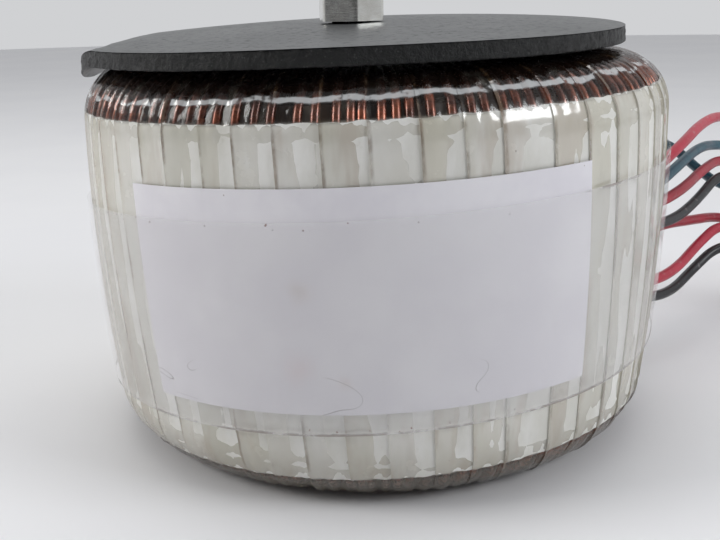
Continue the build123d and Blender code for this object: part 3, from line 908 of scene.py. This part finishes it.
def add_windings(finish):
    """The secondaries' turns: round wires that run right round the section."""
    radius = WIRE_DIAMETER / 2
    inset = WIRE_COVER + radius
    near = [turn for turn in turns if SECTOR_START - 180 < turn < SECTOR_START]
    far = [turn for turn in turns if turn not in near]
    for name, half in (("secondary_winding_b", near), ("secondary_winding_a", far)):
        points = []
        faces = []
        for count, azimuth in enumerate(half):
            line = section(inset, inset + (WIRE_DIAMETER * WIRE_NESTING if count % 2 else 0.0), 1)
            normals = outline_normals(line)
            start = len(points)
            sway = dice.uniform(-WIRE_SWAY, WIRE_SWAY)
            for (r, z), (nr, nz) in zip(line, normals):
                centre = spot(azimuth + sway * sin(z / WIRE_SWAY_LENGTH), r, z)
                beside = spot(azimuth + 90, radius, 0)
                outward = spot(azimuth, radius * nr, radius * nz)
                for side in range(WIRE_SIDES):
                    turn = 2 * pi * side / WIRE_SIDES
                    points.append(centre + outward * cos(turn) + beside * sin(turn))
            faces += grid_faces(len(line), WIRE_SIDES, start, close_columns=True, close_rows=True)
        new_piece(name + "_wires", points, faces, finish, "enamelled_copper", name)


def closed_sheet(name, place, columns, rows, lifts, wear, marks=None):
    """Thin closed sheet: place(column share, row share, lift) gives its points on two sides."""
    points = []
    shares = []
    for lift in lifts:
        for column in range(columns):
            for row in range(rows):
                share = (column / (columns - 1), row / (rows - 1))
                points.append(place(*share, lift))
                shares.append(share)
    count = columns * rows
    under = grid_faces(columns, rows)
    over = [tuple(corner + count for corner in reversed(face)) for face in under]
    rim = [column * rows for column in range(columns)]
    rim += [(columns - 1) * rows + row for row in range(1, rows)]
    rim += [column * rows + rows - 1 for column in range(columns - 2, -1, -1)]
    rim += range(rows - 2, 0, -1)
    walls = [(b, a, a + count, b + count) for a, b in zip(rim, rim[1:] + rim[:1])]
    values = {mark: [rule(*share) for share in shares] for mark, rule in (marks or {}).items()}
    new_piece(name, points, under + over + walls, *wear, 40, values)


def add_band(finish):
    """White band under the wrap, whose edges wander where its layers end."""
    def place(column, row, lift):
        azimuth = BAND_START + column * BAND_SWEEP
        climb = band_climb(WAIST_RADIUS * sin(radians(azimuth)))
        off = wander((azimuth, 0, 0), BAND_EDGE)
        low = BAND_FOOT + climb + off
        high = BAND_TOP + climb + off * 0.8
        z = low + (high - low) * row
        ripple = 0.03 * waver((azimuth / 1.7, z / 14, 0), 1.0, 6.0)
        return spot(azimuth, skin_radius(z, lift) + ripple, z)

    lifts = (BAND_COVER + BAND_THICKNESS, BAND_COVER)
    wear = (finish, "white_film", "white_band")
    closed_sheet("white_backing_band", place, *BAND_GRID, lifts, wear)


def stuck_place(sheet):
    """Places on a sheet that is stuck round the side, climbing to the right by its tilt."""
    lean = tan(radians(sheet["tilt"]))

    def place(column, row, lift):
        azimuth = sheet["left"] + (sheet["right"] - sheet["left"]) * column
        climb = WAIST_RADIUS * radians(azimuth) * lean
        z = sheet["foot"] + climb + (sheet["top"] - sheet["foot"]) * row
        ripple = SHEET_ROUGHNESS * waver((azimuth / 2.3, z / 16, 0), 1.0, 2.0)
        ripple += 0.5 * SHEET_ROUGHNESS * waver((azimuth / 0.8, z / 5, 0), 1.0, 7.0)
        point = spot(azimuth, side_radius(z) + lift + ripple, z)
        return point - spot(azimuth + 90, lean * (z - MID_HEIGHT), 0)

    return place


def add_label(finish):
    """Paper label, left bare."""
    lifts = (LABEL_LIFT, LABEL_LIFT + LABEL_THICKNESS)
    wear = (finish, "label_paper", "label")
    closed_sheet("paper_label", stuck_place(LABEL), *LABEL_GRID, lifts, wear)


def add_cover_tape(finish):
    """Clear tape over the label, with dirt along its two edges."""
    def rim(column, row):
        return min(row, 1 - row) * (TAPE["top"] - TAPE["foot"])

    def soiled(column, row):
        azimuth = TAPE["left"] + (TAPE["right"] - TAPE["left"]) * column
        return 1.0 if row < 0.5 or azimuth > TAPE_CLEAN_TO else TAPE_CLEAN_SHARE

    lifts = (TAPE_LIFT, TAPE_LIFT + TAPE_THICKNESS)
    wear = (finish, "clear_tape", "cover_tape")
    marks = {"rim": rim, "soiled": soiled}
    closed_sheet("label_cover_tape", stuck_place(TAPE), *TAPE_GRID, lifts, wear, marks)


def pad_trim(turn):
    """The pad's trim at a turn in degrees, smooth through its values."""
    place = turn / 360 * len(PAD_TRIM)
    index = int(place)
    share = place - index
    a, b, c, d = (PAD_TRIM[(index + step) % len(PAD_TRIM)] for step in (-1, 0, 1, 2))
    bend = 2 * a - 5 * b + 4 * c - d + share * (3 * (b - c) + d - a)
    return b + 0.5 * share * (c - a + share * bend)


def pad_fall(point):
    """How far the pad lies below its rest height at a point: its tilt, droop and left fold."""
    tilt = tan(radians(PAD_TILT)) * point.dot(spot(PAD_TILT_TOWARDS, 1, 0))
    droop = (PAD_DROOP_SIDE * point.x ** 2 + PAD_DROOP_FRONT * point.y ** 2) / PAD_RADIUS ** 2
    reach = max(-point.x - PAD_FOLD_START, 0)
    fold = PAD_FOLD_DROP * (reach / (PAD_RADIUS - PAD_SHIFT - PAD_FOLD_START)) ** 2
    return tilt + droop + fold


def add_pad(finish):
    """Rubber pad: a hand-cut disc with rough edges, drooping a little, on the top."""
    centre = Vector((PAD_SHIFT, 0, 0))
    points = []
    cut = []
    for segment in range(PAD_SEGMENTS):
        turn = 360 * segment / PAD_SEGMENTS
        snip = wander((turn, 0, 0), PAD_SNIPS)
        rim = spot(turn, PAD_RADIUS + pad_trim(turn) + snip, 0) + centre
        hole = spot(turn, PAD_HOLE_RADIUS, 0) + centre

        def surface(share, up):
            flat = hole.lerp(rim, share)
            return flat + Vector((0, 0, PAD_REST - pad_fall(flat) + PAD_THICKNESS * up))

        loop = [(surface(share, 0.0), 0.0) for share in PAD_RINGS]
        for up in PAD_EDGE_ROWS:
            point = surface(1.0, up)
            slope = PAD_EDGE_SLOPE * (0.5 - up)
            rounded = PAD_EDGE_ROUND * (up in (0.0, 1.0))
            loop.append((point + spot(turn, wander(point, PAD_TEETH) + slope - rounded, 0), 1.0))
        loop += [(surface(share, 1.0), 0.0) for share in reversed(PAD_RINGS)]
        loop.append((surface(0.0, 0.5), 1.0))
        points += [point for point, edge in loop]
        cut += [edge for point, edge in loop]
    faces = grid_faces(PAD_SEGMENTS, len(loop), close_columns=True, close_rows=True)
    marks = {"cut_edge": cut}
    new_piece("cut_rubber_pad", points, faces, finish, "black_rubber", "rubber_pad", 38, marks)


def add_bolt(finish):
    """Hex bolt with a chamfered head and a rolled thread."""
    low, high = (corner[2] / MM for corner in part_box("bolt"))
    head_foot = high - BOLT_HEAD_HEIGHT
    flat = BOLT_ACROSS_FLATS / 2
    corner = flat / cos(radians(30)) - BOLT_CORNER_TRIM
    thread_top = low + BOLT_THREAD_LENGTH
    steps = int((BOLT_THREAD_LENGTH - BOLT_THREAD_END) * THREAD_STEPS_PER_MM)
    points = []
    for segment in range(BOLT_SEGMENTS):
        turn = 360 * segment / BOLT_SEGMENTS
        off_face = (turn + 30) % 60 - 30
        hexagon = min(flat / cos(radians(off_face)), corner)
        column = [(r, high - depth) for r, depth in BOLT_CUP]
        for up in reversed(BOLT_HEAD_ROWS):
            chamfer = BOLT_FACE_RADIUS + (BOLT_HEAD_HEIGHT - up) / tan(radians(30))
            column.append((min(hexagon, chamfer), head_foot + up))
        column += [
            (hexagon - BOLT_FOOT_TRIM, head_foot),
            (BOLT_SHANK_RADIUS + BOLT_FILLET, head_foot),
            (BOLT_SHANK_RADIUS, head_foot - BOLT_FILLET),
            (BOLT_SHANK_RADIUS, thread_top + BOLT_THREAD_RUN_OUT),
        ]
        for step in range(steps + 1):
            z = thread_top - step / THREAD_STEPS_PER_MM
            crest = abs((z / BOLT_THREAD_PITCH - turn / 360) % 1 - 0.5) * 2
            sunk = BOLT_THREAD_INSET + BOLT_THREAD_DEPTH * (1 - crest)
            column.append((BOLT_SHANK_RADIUS - sunk, z))
        column += [(BOLT_SHANK_RADIUS - BOLT_END_TAPER, low), (0.0, low)]
        points += [spot(turn - BOLT_TURN, r, z) + Vector((PAD_SHIFT, 0, 0)) for r, z in column]
    faces = grid_faces(BOLT_SEGMENTS, len(column), close_columns=True)
    weld(new_piece("hex_bolt", points, faces, finish, "zinc_steel", "bolt"), 28)


def weld(piece, sharp):
    """Joins the points that lie on one another, as at a bolt's axis, and shades it again."""
    work = bmesh.new()
    work.from_mesh(piece.data)
    bmesh.ops.remove_doubles(work, verts=work.verts, dist=1e-6)
    work.to_mesh(piece.data)
    work.free()
    piece.data.shade_smooth()
    piece.data.set_sharp_from_angle(angle=radians(sharp))


def add_lead(name, finishes):
    """One flexible lead as a smooth curve, with the stripped strands at its end."""
    slot, azimuth, height, route = LEADS[name]
    root = spot(azimuth, side_radius(height) - LEAD_INSET, height)
    points = [root, spot(azimuth, LEAD_REACH, height)] + [Vector(point) for point in route]
    data = bpy.data.curves.new(name + "_jacket", "CURVE")
    data.dimensions = "3D"
    line = data.splines.new("NURBS")
    line.points.add(len(points) - 1)
    for point, place in zip(line.points, points):
        point.co = (*(place * MM), 1.0)
        point.radius = LEAD_DIAMETER / 2 * MM
    line.order_u = 3
    line.use_endpoint_u = True
    line.resolution_u = 12
    # The points' own radii give the thickness, so the curve's bounds take it in.
    data.bevel_depth = 1.0
    data.bevel_resolution = 5
    data.use_fill_caps = True
    jacket = placed(name + "_jacket", data)
    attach(jacket, "root")
    finishes[slot].put(jacket, slot)
    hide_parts(name + "_lead")
    tip = add_tip(name, points[-1], (points[-1] - points[-2]).normalized(), finishes)
    length = curve_length(jacket)


def curve_length(curve):
    """Length in metres of a curve's own line."""
    bare = curve.data.copy()
    bare.bevel_depth = 0.0
    probe = bpy.data.objects.new("probe", bare)
    mesh = bpy.data.meshes.new_from_object(probe)
    length = sum((b.co - a.co).length for a, b in zip(mesh.vertices, mesh.vertices[1:]))
    bpy.data.objects.remove(probe)
    bpy.data.curves.remove(bare)
    bpy.data.meshes.remove(mesh)
    return length


def add_tip(name, start, ahead, finishes):
    """Stripped end of a lead: tinned strands, one in the middle and six twisted round it."""
    across = ahead.cross(Vector((0, 0, 1))).normalized()
    upward = across.cross(ahead)
    points = []
    faces = []
    for count in range(TIP_STRANDS):
        reach = 0.0 if count == 0 else STRAND_REACH
        first = len(points)
        for step in range(STRAND_STEPS + 1):
            along = TIP_LENGTH * step / STRAND_STEPS
            turn = 2 * pi * (count / (TIP_STRANDS - 1) + along / STRAND_LAY)
            out = across * cos(turn) + upward * sin(turn)
            centre = start + ahead * (along - TIP_OVERLAP) + out * reach
            for side in range(STRAND_SIDES):
                angle = 2 * pi * side / STRAND_SIDES
                off = across * cos(angle) + upward * sin(angle)
                points.append(centre + off * STRAND_RADIUS)
        faces += grid_faces(STRAND_STEPS + 1, STRAND_SIDES, first, close_rows=True)
        faces.append(tuple(first + side for side in range(STRAND_SIDES)))
        last = first + STRAND_STEPS * STRAND_SIDES
        faces.append(tuple(last + side for side in reversed(range(STRAND_SIDES))))
    tin = finishes["tinned_copper"]
    return new_piece(name + "_strands", points, faces, tin, "tinned_copper", name + "_tip", 60)


def add_floor(finish):
    """Large pale disc that the transformer stands on."""
    angles = [2 * pi * segment / TABLE_SEGMENTS for segment in range(TABLE_SEGMENTS)]
    points = [(0.0, 0.0, TABLE_TOP)]
    points += [(TABLE_REACH * cos(a), TABLE_REACH * sin(a), TABLE_TOP) for a in angles]
    faces = [(0, 1 + s, 1 + (s + 1) % TABLE_SEGMENTS) for s in range(TABLE_SEGMENTS)]
    mesh = bpy.data.meshes.new("table_top")
    mesh.from_pydata(points, [], faces)
    floor = placed("table_top", mesh)
    finish.cover(floor)


def add_light(name, place, target, size, power, colour):
    """Square soft light of a size in metres, aimed at a point."""
    data = bpy.data.lights.new(name, "AREA")
    data.shape = "RECTANGLE"
    data.size, data.size_y = size
    data.energy = power
    data.color = colour
    lamp = placed(name, data)
    lamp.location = place
    lamp.rotation_euler = (Vector(target) - Vector(place)).to_track_quat("-Z", "Y").to_euler()


def add_world():
    """Pale surroundings, dimmer in front of the object (-Y) than behind it."""
    world = bpy.data.worlds.new("surroundings")
    world.use_nodes = True
    nodes = world.node_tree.nodes
    links = world.node_tree.links
    backdrop = nodes["Background"]
    backdrop.inputs["Color"].default_value = tint(WORLD_COLOUR)
    ahead = nodes.new("ShaderNodeSeparateXYZ")
    links.new(nodes.new("ShaderNodeTexCoord").outputs["Generated"], ahead.inputs[0])
    fade = nodes.new("ShaderNodeMapRange")
    fade.interpolation_type = "SMOOTHSTEP"
    for socket, number in WORLD_FADE.items():
        fade.inputs[socket].default_value = number
    links.new(ahead.outputs["Y"], fade.inputs["Value"])
    links.new(fade.outputs["Result"], backdrop.inputs["Strength"])
    bpy.context.scene.world = world


add_camera()
finishes = {name: lead_finish(name, *jacket) for name, jacket in JACKETS.items()}
finishes["tinned_copper"] = tinned_finish()
for lead in LEADS:
    add_lead(lead, finishes)
add_wrap(film_finish())
add_windings(copper_finish("enamelled_copper", 0.0))
add_band(band_finish())
add_label(paper_finish())
add_cover_tape(tape_finish())
add_pad(rubber_finish())
add_bolt(zinc_finish())
carried = [
    (copper_finish("enamelled_copper_inner", 5.0), ["primary_winding_a", "primary_winding_b"]),
    (cap_finish(), ["core_cap_upper", "core_cap_lower"]),
    (core_finish(), ["core"]),
    (insulation_finish(), ["winding_insulation"]),
]
for finish, nodes in carried:
    for node in nodes:
        finish.cover(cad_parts[node])
add_floor(floor_finish())
add_world()
for name, settings in LIGHTS.items():
    add_light(name, *settings)
bpy.context.scene.view_settings.view_transform = "Standard"
